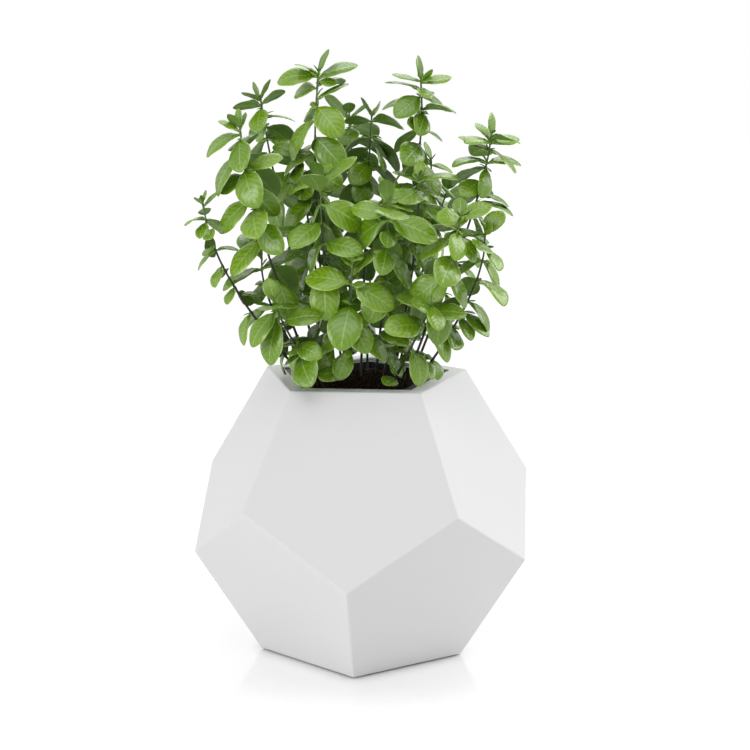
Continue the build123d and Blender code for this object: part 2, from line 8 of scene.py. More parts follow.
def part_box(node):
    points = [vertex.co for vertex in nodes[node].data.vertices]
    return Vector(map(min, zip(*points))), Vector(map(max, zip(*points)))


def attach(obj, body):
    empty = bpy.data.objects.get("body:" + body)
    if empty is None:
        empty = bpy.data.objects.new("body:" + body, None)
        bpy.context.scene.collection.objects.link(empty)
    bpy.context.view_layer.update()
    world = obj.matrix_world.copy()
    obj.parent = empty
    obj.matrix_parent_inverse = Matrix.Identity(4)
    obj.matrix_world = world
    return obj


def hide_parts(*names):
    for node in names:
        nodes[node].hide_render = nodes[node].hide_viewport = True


# A white faceted plant pot with a leafy herb. Metres, +Z up, the front face towards -Y.
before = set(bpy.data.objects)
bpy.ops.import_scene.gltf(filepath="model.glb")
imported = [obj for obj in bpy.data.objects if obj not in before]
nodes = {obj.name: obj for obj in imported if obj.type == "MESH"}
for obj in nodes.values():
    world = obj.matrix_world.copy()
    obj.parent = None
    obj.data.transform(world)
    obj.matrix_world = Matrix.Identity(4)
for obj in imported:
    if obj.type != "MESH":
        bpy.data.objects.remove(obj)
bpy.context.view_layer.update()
mm = 0.001
scene = bpy.context.scene
scene.view_settings.view_transform = "Standard"


# The view: a long lens a little above the rim, turned a few degrees to the pot's right. It was
# fitted to fourteen of the pot's corners, which are those of a regular dodecahedron.
view_azimuth, view_elevation = 4.87, 11.67
view_distance = 1373 * mm
view_target = Vector((9.27 * mm, 0.79 * mm, 222.7 * mm))


def towards(azimuth, elevation):
    """The way from the pot to a place, in degrees: azimuth 0 is in front and 90 on its right."""
    around, up = radians(azimuth), radians(elevation)
    return Vector((sin(around) * cos(up), -cos(around) * cos(up), sin(up)))


def facing_pot(way):
    """The turn of a camera or a lamp that looks at the pot from there."""
    return way.to_track_quat("Z", "Y").to_euler()


camera_data = bpy.data.cameras.new("camera")
camera_data.lens = 82.85
camera_data.sensor_width = 36
camera_data.clip_start = 0.05
camera_data.clip_end = 50
camera = bpy.data.objects.new("camera", camera_data)
scene.collection.objects.link(camera)
view_way = towards(view_azimuth, view_elevation)
camera.location = view_target + view_way * view_distance
camera.rotation_euler = facing_pot(view_way)
scene.camera = camera


# The light: a pale sky all round, and four wide lamps that give each face of the pot its tone. The
# camera and the reflections see a plain white sky, and the rest of its light is weaker.
def lamp(name, azimuth, elevation, strength, width):
    """A wide, far lamp."""
    data = bpy.data.lights.new(name, "SUN")
    data.energy = strength
    data.angle = radians(width)
    item = bpy.data.objects.new(name, data)
    scene.collection.objects.link(item)
    item.rotation_euler = facing_pot(towards(azimuth, elevation))


lamp("left_lamp", azimuth=-50, elevation=16, strength=0.95, width=30)
lamp("right_lamp", azimuth=112, elevation=32, strength=1.50, width=40)
lamp("high_lamp", azimuth=-8, elevation=64, strength=0.85, width=50)
lamp("back_lamp", azimuth=180, elevation=45, strength=0.80, width=40)


def feed(tree, slot, value):
    """Gives a node's slot a plain value, or what a socket brings."""
    if isinstance(value, Field):
        value = value.socket
    if isinstance(value, bpy.types.NodeSocket):
        tree.links.new(value, slot)
    else:
        slot.default_value = value


class Field:
    """A socket of a shader or geometry tree, so that sums on nodes are written as arithmetic."""

    def __init__(self, tree, socket):
        self.tree, self.socket = tree, socket

    def computed(self, kind, operation, values):
        node = self.tree.nodes.new(kind)
        node.operation = operation
        for slot, value in zip(node.inputs, values):
            feed(self.tree, slot, value)
        return Field(self.tree, node.outputs[0])

    def math(self, operation, *values):
        return self.computed("ShaderNodeMath", operation, values)

    def vector(self, operation, *values):
        return self.computed("ShaderNodeVectorMath", operation, values)

    def __add__(self, other):
        return self.math("ADD", self, other)

    def __sub__(self, other):
        return self.math("SUBTRACT", self, other)

    def __rsub__(self, other):
        return self.math("SUBTRACT", other, self)

    def __mul__(self, other):
        return self.math("MULTIPLY", self, other)

    def __truediv__(self, other):
        return self.math("DIVIDE", self, other)

    def __pow__(self, other):
        return self.math("POWER", self, other)

    def __abs__(self):
        return self.math("ABSOLUTE", self)

    def least(self, other):
        return self.math("MINIMUM", self, other)

    def most(self, other):
        return self.math("MAXIMUM", self, other)

    def above(self, limit):
        return self.math("GREATER_THAN", self, limit)

    def below(self, limit):
        return self.math("LESS_THAN", self, limit)

    def sine(self):
        return self.math("SINE", self)

    def cosine(self):
        return self.math("COSINE", self)

    def fraction(self):
        return self.math("FRACT", self)

    def ramp(self, low, high):
        """0 below low, 1 above high and smooth between."""
        node = self.tree.nodes.new("ShaderNodeMapRange")
        node.interpolation_type = "SMOOTHSTEP"
        feed(self.tree, node.inputs["Value"], self)
        node.inputs["From Min"].default_value = low
        node.inputs["From Max"].default_value = high
        return Field(self.tree, node.outputs["Result"])


def mixed(tree, share, first, second):
    """A surface between two others, by a share from 0 to 1."""
    node = tree.nodes.new("ShaderNodeMixShader")
    for slot, value in zip(node.inputs, (share, first, second)):
        feed(tree, slot, value)
    return node.outputs[0]


sky_strength = 0.26
sky = bpy.data.worlds.new("pale_sky")
scene.world = sky
sky.use_nodes = True
sky_tree = sky.node_tree
sky_tree.nodes.clear()


def white_sky(strength):
    """A plain white sky of that strength."""
    node = sky_tree.nodes.new("ShaderNodeBackground")
    node.inputs["Color"].default_value = (1, 1, 1, 1)
    node.inputs["Strength"].default_value = strength
    return node.outputs[0]


sky_ray = sky_tree.nodes.new("ShaderNodeLightPath")
looked_at = Field(sky_tree, sky_ray.outputs["Is Camera Ray"])
for kind in ("Is Glossy Ray", "Is Transmission Ray"):
    looked_at = looked_at.most(sky_ray.outputs[kind])
sky_surface = mixed(sky_tree, looked_at, white_sky(sky_strength), white_sky(1.0))
sky_out = sky_tree.nodes.new("ShaderNodeOutputWorld")
sky_tree.links.new(sky_surface, sky_out.inputs["Surface"])


# The floor: a pale polished surface that fades into the white beyond. It keeps the dark line under
# the pot, and mirrors the pot's lower faces faintly.
class Finish:
    """A material with a Principled surface, and short ways to add its patterns."""

    def __init__(self, name, color, roughness):
        self.material = bpy.data.materials.new(name)
        self.material.use_nodes = True
        self.material.diffuse_color = (*color, 1)
        self.tree = self.material.node_tree
        self.surface = self.tree.nodes["Principled BSDF"]
        self.set("Base Color", (*color, 1))
        self.set("Roughness", roughness)
        self.place = self.new("ShaderNodeTexCoord")

    def new(self, kind, **settings):
        node = self.tree.nodes.new(kind)
        for name, value in settings.items():
            setattr(node, name, value)
        return node

    def set(self, socket, value):
        feed(self.tree, self.surface.inputs[socket], value)

    def noise(self, scale, detail=2.0, rough=0.5):
        node = self.new("ShaderNodeTexNoise")
        node.inputs["Scale"].default_value = scale
        node.inputs["Detail"].default_value = detail
        node.inputs["Roughness"].default_value = rough
        self.tree.links.new(self.place.outputs["Object"], node.inputs["Vector"])
        return Field(self.tree, node.outputs[0])

    def attribute(self, name):
        node = self.new("ShaderNodeAttribute", attribute_name=name)
        return Field(self.tree, node.outputs["Fac"])

    def blend(self, share, first, second):
        """A colour between two others, each a plain colour or one on nodes."""
        node = self.new("ShaderNodeMix", data_type="RGBA")
        for number, value in ((0, share), (6, first), (7, second)):
            feed(self.tree, node.inputs[number], (*value, 1) if isinstance(value, tuple) else value)
        return Field(self.tree, node.outputs[2])

    def paint(self, share, first, second):
        self.set("Base Color", self.blend(share, first, second))

    def emboss(self, height, strength, depth):
        bump = self.new("ShaderNodeBump")
        bump.inputs["Strength"].default_value = strength
        bump.inputs["Distance"].default_value = depth
        feed(self.tree, bump.inputs["Height"], height)
        self.set("Normal", bump.outputs[0])


floor_size = 6.0
floor_glow = 1.10  # how white the open floor looks
floor_shade = 0.15  # share of the lamps' shadows that the open floor shows
mirror_most = 0.32  # share of mirroring right beside the pot
mirror_blur = 0.08
mirror_reach = 110 * mm
contact_reach = 16 * mm
floor_mesh = bpy.data.meshes.new("floor")
floor_signs = [(-1, -1), (1, -1), (1, 1), (-1, 1)]
floor_mesh.from_pydata([(x * floor_size, y * floor_size, 0) for x, y in floor_signs], [], [(0, 1, 2, 3)])
floor = bpy.data.objects.new("floor", floor_mesh)
scene.collection.objects.link(floor)
floor_finish = Finish("pale_floor", (0.94, 0.94, 0.945), 0.5)
floor_tree = floor_finish.tree
glow = floor_finish.new("ShaderNodeEmission")
glow.inputs["Color"].default_value = (1, 1, 1, 1)
glow.inputs["Strength"].default_value = floor_glow
mirror = floor_finish.new("ShaderNodeBsdfGlossy")
mirror.inputs["Roughness"].default_value = mirror_blur


def openness(reach):
    """How much of the space within that reach is free: 1 on the open floor, less near the pot."""
    node = floor_finish.new("ShaderNodeAmbientOcclusion", samples=8)
    node.inputs["Distance"].default_value = reach
    return Field(floor_tree, node.outputs["AO"])


mirror_share = (1 - openness(mirror_reach).ramp(0.50, 0.88)) * mirror_most
glow_share = openness(contact_reach).ramp(0.1, 0.9) * (1 - floor_shade)
lit_floor = floor_finish.surface.outputs[0]
open_floor = mixed(floor_tree, glow_share, lit_floor, glow.outputs[0])
mirrored = mixed(floor_tree, mirror_share, open_floor, mirror.outputs[0])
ray = floor_finish.new("ShaderNodeLightPath")
seen = mixed(floor_tree, ray.outputs["Is Camera Ray"], lit_floor, mirrored)
floor_tree.links.new(seen, floor_tree.nodes["Material Output"].inputs["Surface"])
floor_mesh.materials.append(floor_finish.material)


# The pot: one moulding of white plastic with a satin skin. The mould leaves it very finely pebbled,
# and its white is a little uneven.
def dress(name, finish):
    """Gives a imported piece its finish."""
    slots = nodes[name].data.materials
    slots.clear()
    slots.append(finish.material)


pot_finish = Finish("satin_white_plastic", (0.80, 0.80, 0.805), 0.42)
pot_finish.set("IOR", 1.46)
pot_tone = pot_finish.noise(9.0, detail=3.0)
pot_finish.paint(pot_tone, (0.79, 0.79, 0.797), (0.81, 0.81, 0.813))
pot_pebble = pot_finish.noise(2600.0, detail=1.0)
pot_finish.emboss(pot_pebble, strength=0.12, depth=0.05 * mm)
dress("outer_pot", pot_finish)


# The feet and the drain plug: black rubber, dull, with a dusting of pale bloom. The feet sit in
# pockets in the base, and the plug is pushed into the drain hole.
rubber_finish = Finish("black_rubber", (0.03, 0.03, 0.03), 0.7)
rubber_bloom = rubber_finish.noise(180.0, detail=4.0)
rubber_finish.paint(rubber_bloom, (0.020, 0.020, 0.021), (0.048, 0.047, 0.046))
rubber_finish.emboss(rubber_finish.noise(1500.0), strength=0.25, depth=0.08 * mm)
for number in range(5):
    dress(f"foot_pad_{number + 1}", rubber_finish)
dress("drain_plug", rubber_finish)


# The liner: a black moulded cup with a fine spark-eroded grain, a little shinier than the rubber.
# It hangs by its flange inside the mouth, and lifts out with the soil and the herb.
liner_finish = Finish("black_liner_plastic", (0.013, 0.013, 0.014), 0.5)
liner_grain = liner_finish.noise(1800.0, detail=2.0)
liner_finish.set("Roughness", liner_grain * 0.25 + 0.42)
liner_finish.set("Specular IOR Level", 0.25)
liner_finish.emboss(liner_grain, strength=0.3, depth=0.06 * mm)
dress("liner", liner_finish)


# The soil: dark peat and bark, a little crowned, with a loose crumb on top. It fills the liner.
# It is built in the place of the packed soil, with a smooth crowned body under the crumbs.
soil_low, soil_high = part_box("soil")
bed_margin = 0.4 * mm  # between the bed and the side of the packed soil
bed_inradius = -soil_low.y - bed_margin
bed_corner = 7 * mm
bed_slope = 0.07  # how much the bed narrows for each millimetre down
bed_rings, bed_around = 26, 90
crown_height = 4.0 * mm
crumb_count = 5200
crumb_least, crumb_most = 0.7 * mm, 2.3 * mm
crumb_skew = 2.5  # the higher, the fewer large crumbs
crumb_dent, dent_scale = 1.1 * mm, 900.0
crumb_sink = 0.8 * mm
face_up = 0.5  # crumbs lie where the bed's face turns up by more than this
grain_least, grain_most = (0.7, 0.5, 0.35), (1.3, 1.0, 0.8)  # shares of a crumb's size each way
bed_area = 5 * sin(pi / 5) / cos(pi / 5) * bed_inradius ** 2


def bed_reach(bearing):
    """How far a rounded pentagon with a flat side at the front reaches towards a bearing."""
    sector = 2 * pi / 5
    turn = (bearing + pi / 2 + sector / 2) % sector - sector / 2
    flat = bed_inradius / cos(turn)
    corner_limit = bed_inradius / cos(sector / 2) - bed_corner * (1 / cos(sector / 2) - 1)
    return min(flat, corner_limit)


def soil_body():
    """A closed tapered plug of soil with a finely divided crowned top."""
    bm = bmesh.new()
    top = soil_high.z - crown_height
    levels = [(soil_low.z, 1 - (top - soil_low.z) * bed_slope / bed_inradius)]
    for number in range(bed_rings):
        share = 1 - number / bed_rings
        levels.append((top + (crown_height - crumb_sink) * (1 - share ** 3), share))
    bearings = [2 * pi * k / bed_around for k in range(bed_around)]
    rings = [[
        bm.verts.new((bed_reach(t) * share * cos(t), bed_reach(t) * share * sin(t), z)) for t in bearings
    ] for z, share in levels]
    for lower, upper in zip(rings, rings[1:]):
        for k in range(bed_around):
            after = (k + 1) % bed_around
            bm.faces.new((lower[k], lower[after], upper[after], upper[k]))
    middle = bm.verts.new((0, 0, soil_high.z - crumb_sink))
    for k in range(bed_around):
        bm.faces.new((rings[-1][k], rings[-1][(k + 1) % bed_around], middle))
    bm.faces.new(list(reversed(rings[0])))
    mesh = bpy.data.meshes.new("soil_bed")
    bm.to_mesh(mesh)
    bm.free()
    return mesh


soil_finish = Finish("damp_potting_soil", (0.030, 0.016, 0.009), 0.9)
soil_patch = soil_finish.noise(260.0, detail=5.0, rough=0.7)
soil_grit = soil_finish.noise(1400.0, detail=3.0)
wet_peat, dry_peat = (0.008, 0.0035, 0.002), (0.060, 0.026, 0.012)
soil_finish.paint(soil_patch.ramp(0.35, 0.68), wet_peat, dry_peat)
soil_finish.set("Roughness", soil_patch * 0.4 + 0.6)
soil_finish.set("Specular IOR Level", 0.12)
soil_finish.emboss(soil_patch + soil_grit, strength=0.8, depth=0.7 * mm)


class Tree:
    """A Geometry Nodes tree with named inputs, built a node at a time."""

    def __init__(self, name):
        self.group = bpy.data.node_groups.new(name, "GeometryNodeTree")
        self.group.interface.new_socket("Geometry", in_out="INPUT", socket_type="NodeSocketGeometry")
        self.group.interface.new_socket("Geometry", in_out="OUTPUT", socket_type="NodeSocketGeometry")
        self.given = self.group.nodes.new("NodeGroupInput")
        self.result = self.group.nodes.new("NodeGroupOutput")

    def input(self, name, value, kind="NodeSocketFloat"):
        item = self.group.interface.new_socket(name, in_out="INPUT", socket_type=kind)
        item.default_value = value
        return Field(self.group, self.given.outputs[name])

    def geometry(self):
        return self.given.outputs["Geometry"]

    def made(self, kind, inputs=(), output=0, **settings):
        """What a new node makes of its inputs."""
        node = self.group.nodes.new(kind)
        for name, value in settings.items():
            setattr(node, name, value)
        for slot, value in dict(inputs).items():
            feed(self.group, node.inputs[slot], value)
        return Field(self.group, node.outputs[output])

    def named(self, name, kind="FLOAT"):
        return self.made("GeometryNodeInputNamedAttribute", {"Name": name}, "Attribute", data_type=kind)

    def keep(self, geometry, name, value, kind="FLOAT", domain="POINT"):
        return self.made("GeometryNodeStoreNamedAttribute", {
            "Geometry": geometry, "Name": name, "Value": value,
        }, data_type=kind, domain=domain)

    def scaled(self, vector, amount):
        return self.made("ShaderNodeVectorMath", {0: vector, "Scale": amount}, operation="SCALE")

    def join(self, *parts):
        node = self.group.nodes.new("GeometryNodeJoinGeometry")
        for part in parts:
            feed(self.group, node.inputs[0], part)
        return node.outputs[0]

    def shade(self, geometry, smooth, selection=True, domain="FACE"):
        return self.made("GeometryNodeSetShadeSmooth", {
            "Geometry": geometry, "Selection": selection, "Shade Smooth": smooth,
        }, domain=domain)

    def skin(self, geometry, finish):
        return self.made("GeometryNodeSetMaterial", {"Geometry": geometry, "Material": finish.material})

    def finish(self, geometry):
        feed(self.group, self.result.inputs["Geometry"], geometry)

    def run(self, mesh, name):
        """The tree's result on a mesh, as a plain object."""
        holder = bpy.data.objects.new(name + "_plan", mesh)
        scene.collection.objects.link(holder)
        modifier = holder.modifiers.new("grow", "NODES")
        modifier.node_group = self.group
        shaped = holder.evaluated_get(bpy.context.evaluated_depsgraph_get())
        result = bpy.data.meshes.new_from_object(shaped)
        bpy.data.objects.remove(holder)
        result.name = name
        item = bpy.data.objects.new(name, result)
        scene.collection.objects.link(item)
        return item


# Crumbs: rough grains and flat chips of bark strewn on the bed, turned every way. Small ones far
# outnumber large ones.
crumbs = Tree("strewn_crumbs")
count = crumbs.input("Grains", crumb_count, "NodeSocketInt")
least = crumbs.input("Least", crumb_least)
most = crumbs.input("Most", crumb_most)
dent = crumbs.input("Dent", crumb_dent)


def drawn(low, high, seed):
    """A vector of random numbers for each crumb."""
    return crumbs.made("FunctionNodeRandomValue", {0: low, 1: high, "Seed": seed}, data_type="FLOAT_VECTOR")


upward = crumbs.made("ShaderNodeSeparateXYZ", {0: crumbs.made("GeometryNodeInputNormal")}, "Z")
bed_top = crumbs.made("GeometryNodeSeparateGeometry", {
    "Geometry": crumbs.geometry(), "Selection": upward.above(face_up),
}, domain="FACE")
strewn = crumbs.made("GeometryNodeDistributePointsOnFaces", {
    "Mesh": bed_top, "Density": count / bed_area, "Seed": 4,
})
grain = crumbs.made("GeometryNodeMeshIcoSphere", {"Radius": 1.0, "Subdivisions": 1})
size_draw = crumbs.made("FunctionNodeRandomValue", {2: 0.0, 3: 1.0, "Seed": 6}, 1)
size = least + (most - least) * size_draw ** crumb_skew
lumps = crumbs.made("GeometryNodeInstanceOnPoints", {
    "Points": strewn, "Instance": grain, "Rotation": drawn((0, 0, 0), (2 * pi, 2 * pi, 2 * pi), 5),
    "Scale": crumbs.scaled(drawn(grain_least, grain_most, 7), size),
})
loose = crumbs.made("GeometryNodeRealizeInstances", {"Geometry": lumps})
knock = crumbs.made("ShaderNodeTexNoise", {"Scale": dent_scale, "Detail": 1.0}, "Color")
rough = crumbs.scaled(knock.vector("SUBTRACT", knock, (0.5, 0.5, 0.5)), dent)
knocked = crumbs.made("GeometryNodeSetPosition", {"Geometry": loose, "Offset": rough})
whole = crumbs.shade(crumbs.join(knocked, crumbs.geometry()), smooth=False)
crumbs.finish(crumbs.skin(whole, soil_finish))
soil_bed = crumbs.run(soil_body(), "soil_bed")
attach(soil_bed, "planting")
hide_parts("soil")


# The herb: twenty-two square stems rooted in the soil, with glossy leaves set crosswise in pairs.
# Each leaf has the place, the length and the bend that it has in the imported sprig; its blade is
# thin, with a fold along the midrib, and each sprig stays a piece of its own. Millimetres here.
edge = 100.0  # of the regular dodecahedron that gives the pot its sizes
pad_gap = 1.0
half_corner = radians(36)
face_inradius = edge / (2 * sin(half_corner)) * cos(half_corner)
rim_top = pad_gap + edge * sqrt(5 / 2 + 11 / 10 * sqrt(5))
lip_width, ledge_width, ledge_below_rim = 12.0, 5.5, 4.0
liner_clearance, liner_wall, flange_thickness = 0.8, 1.6, 2.2
bed_clearance, soil_below_flange, soil_crown = 0.3, 6.0, 4.0
soil_inradius = face_inradius - lip_width - ledge_width - liner_clearance - liner_wall - bed_clearance
soil_top = rim_top - ledge_below_rim + flange_thickness - soil_below_flange + soil_crown
waist_radius = edge * (1 + sqrt(5)) / 2 / (2 * sin(half_corner))
half_width_x, half_width_y = waist_radius * cos(radians(18)), waist_radius
root_margin = 3.6  # from the soil's side to the ring over which the stems are planted
root_depth = 9.0
stem_base = 2.6  # side of the square stem where it leaves the soil
stem_tip = 1.5
stem_spans = 5  # straight lengths from the root to the tip
leaf_width = 0.62  # width of a leaf for each unit of its length
leaf_keel = 0.10  # depth of the midrib under the blade for each unit of its width
petiole_into_stem = 0.4  # share of the stem's half width
leaf_clearance = 1.5  # between the leaves and the pot
stem_clearance = 1.0

# Half outlines of a leaf: the distance along it and its width, as shares of length and width
mature_outline = [(0.0, 0.11), (0.35, 0.97), (0.71, 0.84), (1.0, 0.0)]
young_outline = [(0.0, 0.14), (0.48, 1.0), (1.0, 0.0)]
young_length = 33.0  # a leaf shorter than this has the plainer outline
root_spread = soil_inradius - root_margin
root_height = soil_top - root_depth


class Sprig:
    """A stem: its root as a share of root_spread, its belly and tip from there, and its leaves."""

    def __init__(self, root, belly, tip, pairs, leaf, turn):
        self.root = (root[0] * root_spread, root[1] * root_spread, root_height)
        self.belly = tuple(self.root[k] + belly[k] for k in range(3))
        self.tip = tuple(self.root[k] + tip[k] for k in range(3))
        self.pairs = pairs
        self.leaf = leaf
        self.turn = turn
        self.leaves = []
        self.taken = []


sprigs = [
    Sprig(root=(-0.53, -0.18), belly=(-12, 0, 148), tip=(-10, 3, 249), pairs=14, leaf=35, turn=20),
    Sprig(root=(-0.76, 0.36), belly=(-35, 14, 143), tip=(-50, 14, 228), pairs=13, leaf=31, turn=60),
    Sprig(root=(-0.71, -0.49), belly=(-40, -23, 125), tip=(-59, -10, 209), pairs=11, leaf=40, turn=100),
    Sprig(root=(-0.79, -0.26), belly=(-60, -32, 88), tip=(-84, -26, 152), pairs=9, leaf=22, turn=10),
    Sprig(root=(-0.07, 0.22), belly=(3, 20, 132), tip=(7, 25, 215), pairs=12, leaf=34, turn=45),
    Sprig(root=(-0.36, 0.44), belly=(3, 25, 128), tip=(0, 35, 215), pairs=11, leaf=33, turn=80),
    Sprig(root=(0.31, 0.18), belly=(26, 7, 158), tip=(30, 2, 243), pairs=14, leaf=32, turn=75),
    Sprig(root=(0.53, 0.49), belly=(22, 20, 115), tip=(27, 18, 179), pairs=10, leaf=31, turn=15),
    Sprig(root=(0.76, 0.04), belly=(48, 6, 131), tip=(65, 2, 202), pairs=13, leaf=30, turn=40),
    Sprig(root=(0.8, -0.28), belly=(48, -17, 78), tip=(60, -22, 133), pairs=8, leaf=29, turn=0),
    Sprig(root=(0.24, -0.58), belly=(11, -29, 104), tip=(13, -26, 156), pairs=9, leaf=38, turn=90),
    Sprig(root=(-0.49, 0.09), belly=(-20, 4, 118), tip=(-28, 1, 189), pairs=10, leaf=32, turn=30),
    Sprig(root=(-0.4, -0.49), belly=(-7, -28, 109), tip=(-10, -20, 172), pairs=9, leaf=36, turn=70),
    Sprig(root=(0.67, -0.49), belly=(33, -30, 89), tip=(48, -28, 145), pairs=9, leaf=35, turn=110),
    Sprig(root=(0.49, -0.18), belly=(19, -10, 107), tip=(22, -8, 171), pairs=9, leaf=34, turn=50),
    Sprig(root=(-0.53, -0.64), belly=(-24, -33, 50), tip=(-37, -41, 81), pairs=5, leaf=38, turn=20),
    Sprig(root=(-0.13, -0.71), belly=(2, -30, 67), tip=(4, -32, 111), pairs=6, leaf=38, turn=80),
    Sprig(root=(0.44, -0.67), belly=(23, -30, 48), tip=(38, -36, 80), pairs=5, leaf=36, turn=60),
    Sprig(root=(-0.4, 0.67), belly=(-20, 38, 102), tip=(-29, 48, 167), pairs=7, leaf=33, turn=10),
    Sprig(root=(0.38, 0.67), belly=(28, 34, 94), tip=(45, 42, 152), pairs=7, leaf=33, turn=70),
    Sprig(root=(-0.73, -0.04), belly=(-36, -18, 66), tip=(-44, -20, 112), pairs=7, leaf=36, turn=35),
    Sprig(root=(0.0, 0.73), belly=(0, 42, 92), tip=(10, 55, 150), pairs=7, leaf=33, turn=120),
]

# The leaves that show best from the front, stem by stem. Each has its place as a share of the
# stem, its bearing, its lift above the square to the stem and its bend in degrees, how far it
# turns its face outward, and its length. The lengths and bends were judged. A search found the
# rest, as the values that bring each leaf's tip where the photograph shows it.
front_leaves = {
    1: [
        (0.99, 0, 80, 20, 0.2, 21), (0.98, -160, 10, 60, 1.2, 33), (0.97, -10, 40, 40, 0.7, 33),
        (0.99, 160, 50, 30, 0.2, 24), (0.93, 160, 0, 50, 1.2, 26), (0.88, 10, 40, 20, 0.2, 28),
        (0.96, -50, 20, 20, 1.2, 17),
    ],
    2: [
        (0.99, -160, 70, 10, 2.0, 15), (0.99, -10, 60, 10, 0.2, 18), (0.98, -140, 40, 20, 0.2, 19),
        (0.95, -160, 20, 30, 1.2, 24), (0.96, 50, 30, 40, 2.0, 24),
    ],
    3: [
        (0.99, 120, 80, 10, 2.0, 17), (0.98, 40, 70, 10, 2.0, 16), (0.97, -140, 40, 30, 0.7, 19),
        (0.96, -170, 0, 60, 1.2, 33), (0.94, -100, -50, 30, 0.7, 33), (0.75, 170, 0, 30, 2.0, 28),
        (0.73, 10, -70, 40, 1.2, 35), (0.79, -10, 10, 20, 1.2, 30), (0.66, -180, -20, 30, 2.0, 38),
        (0.51, -150, -20, 25, 2.0, 38), (0.56, -70, -30, 40, 2.0, 34), (0.36, -70, -50, 40, 0.2, 34),
    ],
    4: [
        (0.99, -10, 70, 10, 0.7, 11), (0.98, -110, 40, 20, 0.2, 11), (0.97, 0, 40, 10, 2.0, 16),
        (0.37, -150, -10, 60, 0.2, 27), (0.50, -120, 0, 40, 0.7, 18), (0.48, 100, -50, 40, 2.0, 20),
        (0.61, -120, -10, 50, 1.2, 22), (0.73, -110, 0, 30, 0.7, 18), (0.87, -110, -30, 40, 0.2, 18),
    ],
    5: [
        (0.99, 170, 60, 10, 0.7, 17), (0.99, 60, 40, 10, 2.0, 17), (0.96, -20, 20, 60, 0.7, 34),
        (0.96, 150, 10, 40, 0.7, 24),
    ],
    7: [
        (0.99, 90, 80, 10, 0.2, 20), (0.99, 40, 60, 10, 2.0, 17), (0.99, -160, 30, 10, 0.7, 24),
        (0.98, 20, 10, 10, 0.7, 25), (0.95, -70, 0, 30, 0.2, 20), (0.82, -180, 40, 80, 2.0, 34),
        (0.82, -20, 20, 50, 1.2, 32), (0.74, -100, 20, 40, 2.0, 22), (0.73, -50, 10, 40, 2.0, 22),
    ],
    8: [
        (0.99, 120, 60, 10, 0.2, 17), (0.99, 20, 70, 10, 1.2, 18), (0.96, 30, -10, 30, 2.0, 22),
    ],
    9: [
        (0.98, 100, 70, 10, 0.7, 19), (0.95, 130, 40, 30, 0.2, 22), (0.93, 30, 20, 20, 0.7, 26),
        (0.87, -160, 30, 20, 0.7, 28), (0.79, -150, 20, 70, 0.2, 32), (0.79, 0, 30, 60, 0.7, 30),
        (0.64, 0, 10, 40, 0.7, 26), (0.59, -10, 30, 60, 2.0, 32),
    ],
    10: [
        (0.43, -20, 0, 30, 2.0, 28), (0.40, -50, 0, 40, 0.7, 24), (0.61, -40, 30, 80, 1.2, 38),
        (0.84, -50, 0, 60, 1.2, 28),
    ],
    11: [
        (0.17, -30, -20, 60, 0.2, 30), (0.63, -90, -30, 30, 1.2, 27), (0.96, 90, 60, 20, 0.2, 22),
        (0.85, -170, 20, 30, 1.2, 29), (0.74, -80, -10, 40, 2.0, 22),
    ],
    14: [
        (0.33, -30, -10, 50, 0.2, 34), (0.99, -130, -10, 30, 2.0, 22), (0.97, 120, 70, 20, 0.2, 20),
        (0.88, -70, -40, 40, 2.0, 28), (0.83, 10, -20, 50, 2.0, 26),
    ],
    16: [
        (0.86, -150, -10, 50, 0.7, 34), (0.78, -140, -30, 40, 0.7, 38), (0.36, -90, 20, 50, 2.0, 38),
        (0.37, -130, 0, 30, 0.2, 16),
    ],
    17: [
        (0.30, -110, -20, 50, 1.2, 26), (0.50, -60, -20, 40, 2.0, 30),
    ],
    18: [
        (0.99, -60, -10, 40, 2.0, 26), (0.95, -110, 20, 30, 1.2, 24),
    ],
}


# Small vector sums on plain tuples, in millimetres
def plus(a, b, k=1.0):
    return (a[0] + b[0] * k, a[1] + b[1] * k, a[2] + b[2] * k)


def dot(a, b):
    return a[0] * b[0] + a[1] * b[1] + a[2] * b[2]


def cross(a, b):
    return (a[1] * b[2] - a[2] * b[1], a[2] * b[0] - a[0] * b[2], a[0] * b[1] - a[1] * b[0])


def unit(a):
    size = sqrt(dot(a, a))
    return (a[0] / size, a[1] / size, a[2] / size)


def stem_knot(sprig, number):
    """A joint of the stem, on a parabola through the root, the belly and the tip."""
    t = number / stem_spans
    bend = tuple(2 * sprig.belly[k] - (sprig.root[k] + sprig.tip[k]) / 2 for k in range(3))
    before, middle, after = (1 - t) ** 2, 2 * t * (1 - t), t * t
    return tuple(
        sprig.root[k] * before + bend[k] * middle + sprig.tip[k] * after for k in range(3)
    )


def stem_point(sprig, t):
    """A point on the stem, which is straight from one joint to the next."""
    span = min(int(t * stem_spans), stem_spans - 1)
    below, above = stem_knot(sprig, span), stem_knot(sprig, span + 1)
    return plus(below, plus(above, below, -1), t * stem_spans - span)


def stem_heading(sprig, t):
    """The way that the stem runs there."""
    span = min(int(t * stem_spans), stem_spans - 1)
    return unit(plus(stem_knot(sprig, span + 1), stem_knot(sprig, span), -1))


def stem_side(t):
    """The side of the square stem there."""
    return stem_base + (stem_tip - stem_base) * t


class Outline:
    """What a leaf or a length of stem takes up: a few triangles and the lines along its edges."""

    def __init__(self, rows, lines):
        self.faces = []
        for (a, b), (c, d) in zip(rows, rows[1:]):
            self.faces += [(a, b, d), (a, d, c)]
        self.lines = lines
        corners = [point for line in lines for point in line]
        low = tuple(min(p[k] for p in corners) for k in range(3))
        high = tuple(max(p[k] for p in corners) for k in range(3))
        self.centre = tuple((low[k] + high[k]) / 2 for k in range(3))
        self.reach = max(sqrt(dot(plus(p, self.centre, -1), plus(p, self.centre, -1))) for p in corners)


